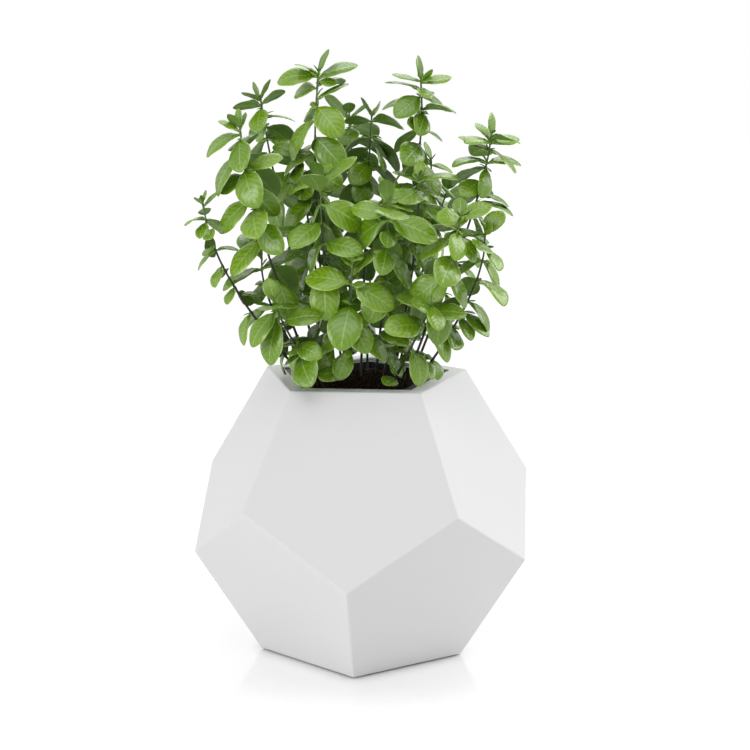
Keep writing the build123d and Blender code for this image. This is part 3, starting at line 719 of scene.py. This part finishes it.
class Leaf:
    """One leaf: its midrib is an arc that turns down by droop degrees from start along heading."""

    def __init__(self, start, heading, across, length, droop):
        self.start, self.heading, self.across = start, heading, across
        self.rise = cross(heading, across)
        half_turn = radians(droop) / 2
        self.chord = plus(tuple(v * cos(half_turn) for v in heading), self.rise, -sin(half_turn))
        self.up = cross(self.chord, across)
        self.length, self.droop = length, radians(droop)
        self.width = leaf_width * length
        self.outline = young_outline if length < young_length else mature_outline
        left, right, keel = [], [], []
        for s, share in self.outline:
            centre = self.station(s)
            left.append(plus(centre, across, -self.width * share / 2))
            right.append(plus(centre, across, self.width * share / 2))
            keel.append(plus(centre, self.up, -self.width * share * leaf_keel))
        self.points = left + right + keel
        lines = [pair for edge in (left, right, keel) for pair in zip(edge, edge[1:])]
        self.whole = Outline(list(zip(left, right)), lines)
        blade_lines = [pair for edge in (left, right, keel) for pair in zip(edge[1:], edge[2:])]
        self.blade = Outline(list(zip(left, right))[1:], blade_lines)

    def station(self, s):
        """A point on the midrib, by its share of the length."""
        turned = self.droop * s
        ahead = self.length * sin(turned) / self.droop if s else 0.0
        down = self.length * (1 - cos(turned)) / self.droop
        return plus(plus(self.start, self.heading, ahead), self.rise, -down)


def stem_outline(a, b, side):
    """Two crossed strips along a length of stem."""
    rows, lines = [], []
    for sideways in ((1, 0, 0), (0, 1, 0)):
        near = plus(a, sideways, -side / 2), plus(a, sideways, side / 2)
        far = plus(b, sideways, -side / 2), plus(b, sideways, side / 2)
        rows.append((near, far))
        lines += [(near[0], far[0]), (near[1], far[1])]
    whole = Outline([rows[0][0], rows[0][1]], lines)
    whole.faces += Outline([rows[1][0], rows[1][1]], lines).faces
    return whole


hit_margin = 0.02  # share of a line or a side by which a near miss counts as a hit


def pierces(line, face):
    """Whether a line goes through a triangle."""
    least, most = -hit_margin, 1 + hit_margin
    along = plus(line[1], line[0], -1)
    side_a, side_b = plus(face[1], face[0], -1), plus(face[2], face[0], -1)
    h = cross(along, side_b)
    det = dot(side_a, h)
    if det == 0:
        return False
    s = plus(line[0], face[0], -1)
    u = dot(s, h) / det
    if u < least or u > most:
        return False
    q = cross(s, side_a)
    v = dot(along, q) / det
    if v < least or u + v > most:
        return False
    return least <= dot(side_b, q) / det <= most


def crossing(one, other):
    """Whether two outlines cut each other."""
    apart = plus(one.centre, other.centre, -1)
    if dot(apart, apart) > (one.reach + other.reach) ** 2:
        return False
    if any(pierces(line, face) for line in one.lines for face in other.faces):
        return True
    return any(pierces(line, face) for line in other.lines for face in one.faces)


def clear_of_pot(leaf):
    """A leaf hangs over the rim or stands in the mouth, and stays inside the pot's own width."""
    for x, y, z in leaf.points:
        if abs(x) > half_width_x - leaf_clearance or abs(y) > half_width_y - leaf_clearance:
            return False
        if z < soil_top + leaf_clearance:
            return False
        if z < rim_top + leaf_clearance and sqrt(x * x + y * y) > soil_inradius:
            return False
    return True


# How leaves are set on their stems
first_pair, last_pair = 0.17, 0.99  # as shares of the stem
crowding = 1.5  # pairs crowd towards the tip
young_pairs = 3  # the pairs at the tip that still point up
smallest_young, young_growth = 0.50, 0.36  # size at the tip, and what each pair below it gains
smallest_old, old_growth, old_pairs = 0.84, 0.08, 2  # the same from the soil up
mature_lift, young_lift = -20.0, 66.0  # degrees above the square to the stem
mature_droop, young_droop = 52.0, 30.0  # degrees that the blade bends down
sway = 21.0  # degrees either way by which leaves differ
shortest, longest = 0.90, 1.14  # by which the lengths of like leaves differ
least_facing, most_facing = 0.45, 1.35  # how far a leaf turns its face away from the crown's middle
young_facing = 0.5  # a leaf at the tip does so by this share
crown_centre = (-8.0, 25.0)
turns_aside = (0, 12, -12, 24, -24, 36, -36, 48, -48, 20, -20, 40, -40, 55, -55, 0)
turns_up = (0, 8, -8, 14, 14, -14, 22, -18, 28, 30, 34, 38, -20, 40, 30, 45)
shrinks = 0.02  # each turn aside also makes the leaf a little smaller
steepest = 0.05  # a leaf that points straight at the light takes its face from the stem instead
season = 29
same_node = 0.045  # within this share of the stem two leaves grow at one node
same_side = 50.0  # and within these degrees on one side of it


def set_leaf(sprig, t, azimuth, lift, droop, facing, length):
    """A leaf on the stem, with its face turned up and outward to the light."""
    here, along = stem_point(sprig, t), stem_heading(sprig, t)
    level = (cos(radians(azimuth)), sin(radians(azimuth)), 0.0)
    outward = unit(plus(level, along, -dot(level, along)))
    heading = plus(tuple(v * cos(radians(lift)) for v in outward), along, sin(radians(lift)))
    away = unit((here[0] - crown_centre[0], here[1] - crown_centre[1], 0.0))
    light = plus((0.0, 0.0, 1.0), away, facing)
    rise = plus(light, heading, -dot(light, heading))
    if dot(rise, rise) < steepest:
        rise = plus(along, heading, -dot(along, heading))
    across = cross(unit(rise), heading)
    start = plus(here, heading, petiole_into_stem * stem_side(t) / 2)
    return Leaf(start, heading, across, length, droop)


def leaf_size(sprig, number):
    """The size of a pair: small at the tip, a little smaller again near the soil."""
    below_tip = sprig.pairs - 1 - number
    young = min(1.0, smallest_young + young_growth * below_tip)
    return sprig.leaf * young * (smallest_old + old_growth * min(old_pairs, number))


def has_room(leaf, sprig, sprigs, leaves):
    """Whether a leaf clears the pot, the stems and the leaves that have grown before it."""
    if not clear_of_pot(leaf):
        return False
    if any(crossing(leaf.blade, length) for length in sprig.stalk):
        return False
    for other in sprigs:
        if other is not sprig and any(crossing(leaf.whole, length) for length in other.stalk):
            return False
    return not any(crossing(leaf.whole, grown.whole) for grown in leaves)


def find_room(sprigs, leaves, sprig, at, bearing, lift, droop, facing, length):
    """Grow a leaf, turned aside and up until it cuts no other, or leave it out."""
    for tried, (aside, up) in enumerate(zip(turns_aside, turns_up)):
        size = length * (1 - shrinks * tried)
        leaf = set_leaf(sprig, at, bearing + aside, lift + up, droop, facing, size)
        if has_room(leaf, sprig, sprigs, leaves):
            sprig.leaves.append(leaf)
            leaves.append(leaf)
            return


def is_taken(sprig, at, bearing):
    """Whether a front leaf already grows from this side of the node."""
    for taken_at, taken_bearing in sprig.taken:
        between = abs((bearing - taken_bearing + 180) % 360 - 180)
        if abs(at - taken_at) < same_node and between < same_side:
            return True
    return False


def grow(sprigs):
    """Set the front leaves, and then pairs of leaves crosswise up each stem."""
    leaves = []
    for sprig in sprigs:
        knots = [stem_knot(sprig, number) for number in range(stem_spans + 1)]
        sides = [stem_side(number / stem_spans) + stem_clearance for number in range(stem_spans)]
        sprig.stalk = [stem_outline(*ends) for ends in zip(knots, knots[1:], sides)]
    for stem, placed in front_leaves.items():
        for at, bearing, lift, droop, facing, length in placed:
            find_room(sprigs, leaves, sprigs[stem - 1], at, bearing, lift, droop, facing, length)
            sprigs[stem - 1].taken.append((at, bearing))
    chance = Random(season)
    for sprig in sprigs:
        for number in range(sprig.pairs):
            share = number / (sprig.pairs - 1)
            at = first_pair + (last_pair - first_pair) * (1 - (1 - share) ** crowding)
            young = max(0.0, 1 - (sprig.pairs - 1 - number) / young_pairs)
            for half in range(2):
                bearing = sprig.turn + 90 * number + 180 * half + chance.uniform(-sway, sway)
                lift = mature_lift + (young_lift - mature_lift) * young + chance.uniform(-sway, sway)
                droop = mature_droop + (young_droop - mature_droop) * young + chance.uniform(-sway, sway)
                length = leaf_size(sprig, number) * chance.uniform(shortest, longest)
                facing = chance.uniform(least_facing, most_facing) * (1 - young_facing * young)
                if not is_taken(sprig, at, bearing):
                    find_room(sprigs, leaves, sprig, at, bearing, lift, droop, facing, length)


grow(sprigs)

# Small growth that only the dressed herb has: a bud at each tip, and young shoots in the crooks of
# the older leaves.
bud_length, bud_least, bud_most = 7.0, 0.7, 1.2
bud_lift, bud_droop, bud_facing = 62.0, 20.0, 0.2
shoot_least, shoot_most = 5.0, 12.0
shoot_least_droop, shoot_most_droop = 20, 60
shoot_bearer = 2 * shoot_most  # a leaf shorter than this has no shoot in its crook
shoot_share = 0.75  # of the crooks
shoot_lift, shoot_sway = 1.2, 0.5
shoot_stand = 0.5  # above the older leaf's foot
shoots = Random(9)


def small_leaves(sprig):
    """The two leaves of the bud, and the shoots in the crooks."""
    grown = []
    for side in range(2):
        azimuth = sprig.turn + 90 * sprig.pairs + 180 * side
        length = bud_length * shoots.uniform(bud_least, bud_most)
        grown.append(set_leaf(sprig, 1.0, azimuth, bud_lift, bud_droop, bud_facing, length))
    for leaf in sprig.leaves:
        draw = shoots.random()
        length = shoots.uniform(shoot_least, shoot_most)
        droop = shoots.uniform(shoot_least_droop, shoot_most_droop)
        if draw > shoot_share or leaf.length < shoot_bearer:
            continue
        along = plus(leaf.rise, leaf.heading, shoot_lift)
        heading = unit(plus(along, leaf.across, shoots.uniform(-shoot_sway, shoot_sway)))
        across = unit(cross(heading, cross(leaf.across, heading)))
        grown.append(Leaf(plus(leaf.start, leaf.rise, shoot_stand), heading, across, length, droop))
    return grown


# Leaf blades, built by one tree: a flat tube for each leaf, given its outline, its fold along the
# midrib, its thickness and its bend. They are glossy above and paler below, with a light midrib,
# painted shade in the vein grooves, a painted highlight along the edges and a painted sheen
# towards the tips.
leaf_finish = Finish("glossy_leaf", (0.15, 0.33, 0.035), 0.3)
on_leaf = leaf_finish.new("ShaderNodeUVMap", uv_map="UVMap")
split = leaf_finish.new("ShaderNodeSeparateXYZ")
leaf_finish.tree.links.new(on_leaf.outputs[0], split.inputs[0])
aside = abs(Field(leaf_finish.tree, split.outputs[0]) * 2 - 1)  # from the midrib to the edge
along_leaf = Field(leaf_finish.tree, split.outputs[1])  # from the foot to the tip
tint = leaf_finish.attribute("tint")
under = leaf_finish.attribute("under")
mottle = leaf_finish.noise(200.0, detail=2.0)
vein_count = 7.5
vein_sweep, vein_curve = 0.30, 1.4
vein_place = (along_leaf - aside ** vein_curve * vein_sweep) * vein_count
vein_gap = abs(vein_place.fraction() - 0.5)
# Darker along the sunken lateral veins: painted shade in their grooves.
painted_vein_shade = vein_gap.ramp(0.28, 0.46) * aside.ramp(1.0, 0.8) * mottle.ramp(0.25, 0.6)
midrib = 1 - aside.ramp(0.015, 0.07)
# Pale along the edges of the blade: a painted highlight.
painted_edge_highlight = aside.ramp(0.90, 1.0) * mottle.ramp(0.3, 0.6)
deep, fresh = (0.074, 0.188, 0.002), (0.270, 0.475, 0.010)
# Fresher green on younger leaves, and lighter towards each blade's tip, which is a painted sheen.
freshness_and_tip_sheen = tint * 0.6 + mottle * 0.15 + along_leaf * 0.3 - 0.04
upper = leaf_finish.blend(freshness_and_tip_sheen, deep, fresh)
upper = leaf_finish.blend(painted_vein_shade * 0.6, upper, (0.055, 0.160, 0.003))
upper = leaf_finish.blend((midrib * 0.5).most(painted_edge_highlight), upper, (0.48, 0.66, 0.19))
lower = leaf_finish.blend(midrib * 0.5, (0.16, 0.29, 0.045), (0.40, 0.52, 0.15))
leaf_finish.paint(under, upper, lower)
leaf_finish.set("Roughness", under * 0.25 + mottle * 0.16 + 0.20)
leaf_finish.set("Specular IOR Level", 0.68)
quilt = (vein_gap * 2).sine() * -0.6 * aside.ramp(1.0, 0.6) + (1 - midrib) * 0.8
leaf_finish.emboss(quilt, strength=0.6, depth=0.25 * mm)

blades = Tree("leaf_blades")
petiole = blades.input("Petiole", 0.10)
petiole_width = blades.input("Petiole width", 0.085)
petiole_flare = 0.14  # share of the blade over which the petiole widens
thickness = blades.input("Thickness", 0.22 * mm)
midrib_depth = blades.input("Midrib depth", 0.45 * mm)
fold = blades.input("Fold", 0.56)
crown = blades.input("Crown", 0.56)
ripple = blades.input("Ripple", 0.036)
waves = blades.input("Waves", 13.0)
bluntness = blades.input("Bluntness", 0.57)
thinning = blades.input("Thinning", 0.4)
weld = blades.input("Weld", 0.01 * mm)
crease = blades.input("Crease angle", 1.2)
tube_sides, leaf_rings, small_rings = 12, 14, 5


def leaf_tube(steps, selection):
    """Instances of a tube with that many rings, on the chosen points."""
    tube = blades.made("GeometryNodeMeshCylinder", {
        "Vertices": tube_sides, "Side Segments": steps, "Fill Segments": 1, "Radius": 1.0, "Depth": 1.0,
    })
    tube = blades.keep(tube, "seat", blades.made("GeometryNodeInputPosition"), "FLOAT_VECTOR")
    return blades.made("GeometryNodeInstanceOnPoints", {
        "Points": blades.geometry(), "Selection": selection, "Instance": tube,
    })


is_leaf, is_small = blades.named("is_leaf"), blades.named("is_small")
placed = blades.join(leaf_tube(leaf_rings, is_leaf - is_small), leaf_tube(small_rings, is_small))
laid = blades.made("GeometryNodeRealizeInstances", {"Geometry": placed})

# On a tube x runs from one edge to the other, y from the underside to the face and s to the tip.
seat = blades.named("seat", "FLOAT_VECTOR")
x, y, z = (blades.made("ShaderNodeSeparateXYZ", {0: seat}, axis) for axis in range(3))
s = (1 - ((z + 0.5) * pi).cosine()) / 2
length, width, droop, phase = (blades.named(name) for name in ("length", "width", "droop", "phase"))
start, heading, across, rise = (
    blades.named(name, "FLOAT_VECTOR") for name in ("start", "heading", "across", "rise")
)
blade_share = ((s - petiole) / (1 - petiole)).most(0.0).least(1.0)
on_blade = blade_share.ramp(0.0, petiole_flare)
underside, midrib_line = y.below(-0.1), y.below(-0.9)
outline = (blade_share * pi).sine().most(0.0) ** bluntness
half = outline.most(petiole_width * (1 - on_blade)) * width / 2
bend = droop * s
ahead = length * bend.sine() / droop
down = length * (1 - bend.cosine()) / droop
lift = half * on_blade * (abs(x) * fold - x * x * crown)
lift = lift + half * on_blade * (s * waves + phase).sine() * ripple * x * x
lift = lift + y * thickness * (1 - blade_share * thinning) + y * half * (1 - on_blade)
lift = lift - midrib_line * midrib_depth * on_blade * (1 - s)
place = start
for way, amount in (
    (heading, ahead + lift * bend.sine()), (rise, lift * bend.cosine() - down), (across, half * x),
):
    place = place.vector("ADD", place, blades.scaled(way, amount))
bent = blades.made("GeometryNodeSetPosition", {"Geometry": laid, "Position": place})
closed = blades.made("GeometryNodeMergeByDistance", {"Geometry": bent, "Distance": weld})
closed = blades.keep(closed, "under", underside)
flat = blades.made("ShaderNodeCombineXYZ", {0: x * 0.5 + 0.5, 1: s})
closed = blades.keep(closed, "UVMap", flat, "FLOAT2", "CORNER")
corner = blades.made("GeometryNodeInputMeshEdgeAngle")
creased = blades.shade(blades.shade(closed, smooth=True), False, corner.above(crease), "EDGE")
green_blades = blades.skin(creased, leaf_finish)

# Stems: square in section with rounded corners, thicker at each pair of leaves, dark at the foot and
# green near the tip.
stem_finish = Finish("dark_green_stem", (0.03, 0.05, 0.02), 0.4)
stem_age = stem_finish.attribute("age")
stem_streak = stem_finish.noise(420.0, detail=3.0)
old_bark = stem_finish.blend(stem_streak.ramp(0.35, 0.7), (0.010, 0.013, 0.007), (0.034, 0.050, 0.018))
green_bark = stem_finish.blend(stem_streak, (0.055, 0.11, 0.018), (0.12, 0.20, 0.04))
greenness = (stem_age + stem_streak * 0.3 - 0.15).ramp(0.45, 1.05)
stem_finish.paint(greenness, old_bark, green_bark)
stem_finish.emboss(stem_streak, strength=0.4, depth=0.2 * mm)

stem_wire = blades.made("GeometryNodeSeparateGeometry", {
    "Geometry": blades.geometry(), "Selection": 1 - is_leaf,
})
stem_curve = blades.made("GeometryNodeMeshToCurve", {"Mesh": stem_wire})
square = blades.made("GeometryNodeCurvePrimitiveQuadrilateral", {"Width": 2.0, "Height": 2.0})
stem_corner = blades.input("Stem corner", 0.45)
profile = blades.made("GeometryNodeFilletCurve", {"Curve": square, "Radius": stem_corner})
stalk = blades.made("GeometryNodeCurveToMesh", {
    "Curve": stem_curve, "Profile Curve": profile, "Fill Caps": True, "Scale": blades.named("girth"),
})
stem_skin = blades.skin(blades.shade(stalk, smooth=True), stem_finish)
blades.finish(blades.join(green_blades, stem_skin))

stem_steps = 70
stem_ease = 0.05  # share of the stem over which a joint's corner is rounded
tint_at_root, tint_gain = 0.55, 0.25  # young leaves at the tip are a fresher green
tint_least, tint_most = 0.2, 1.25
stem_trim = 0.75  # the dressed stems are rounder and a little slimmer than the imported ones
small_limit = 1.05 * shoot_most  # a leaf shorter than this gets few rings
node_swell, node_reach = 0.42, 1.1  # how much thicker a stem is at a pair, and over what length
leaf_chance = Random(31)


def sprig_plan(sprig):
    """The stem as a line and each leaf as a loose point, with the sizes that the tree reads."""
    points, rows = [], []
    stem_length = sqrt(dot(plus(sprig.tip, sprig.root, -1), plus(sprig.tip, sprig.root, -1)))
    joints = [leaf.start for leaf in sprig.leaves]
    for number in range(stem_steps + 1):
        t = number / stem_steps
        ease = min(t, 1 - t, stem_ease)
        near = [stem_point(sprig, at) for at in (t - ease, t, t + ease)]
        points.append(tuple((near[0][k] + near[1][k] + near[2][k]) / 3 for k in range(3)))
        gap = min(abs(plus(joint, points[-1], -1)[2]) for joint in joints)
        swell = 1 + node_swell * exp(-(gap / node_reach) ** 2)
        rows.append({"girth": stem_side(t) / 2 * swell * mm * stem_trim, "age": t})
    edges = [(k, k + 1) for k in range(stem_steps)]
    for leaf in sprig.leaves + small_leaves(sprig):
        points.append(leaf.start)
        small = leaf.length < small_limit
        fresh_share = tint_at_root + tint_gain * (leaf.start[2] - sprig.root[2]) / stem_length
        rows.append({
            "is_leaf": 1.0, "is_small": 1.0 if small else 0.0, "length": leaf.length * mm,
            "width": leaf.width * mm, "droop": leaf.droop, "phase": leaf_chance.uniform(0, 2 * pi),
            "tint": fresh_share * leaf_chance.uniform(tint_least, tint_most), "heading": leaf.heading,
            "across": leaf.across, "rise": leaf.rise, "start": tuple(v * mm for v in leaf.start),
        })
    mesh = bpy.data.meshes.new("sprig_plan")
    mesh.from_pydata([tuple(v * mm for v in point) for point in points], edges, [])
    for name in ("is_leaf", "is_small", "length", "width", "droop", "phase", "tint", "girth", "age"):
        held = mesh.attributes.new(name, "FLOAT", "POINT")
        held.data.foreach_set("value", [float(row.get(name, 0.0)) for row in rows])
    for name in ("heading", "across", "rise", "start"):
        held = mesh.attributes.new(name, "FLOAT_VECTOR", "POINT")
        held.data.foreach_set("vector", [v for row in rows for v in row.get(name, (0.0, 0.0, 0.0))])
    return mesh


for number, sprig in enumerate(sprigs):
    node_name = f"sprig_{number + 1:02d}"
    herb_sprig = blades.run(sprig_plan(sprig), f"herb_{node_name}")
    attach(herb_sprig, "planting")
    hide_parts(node_name)
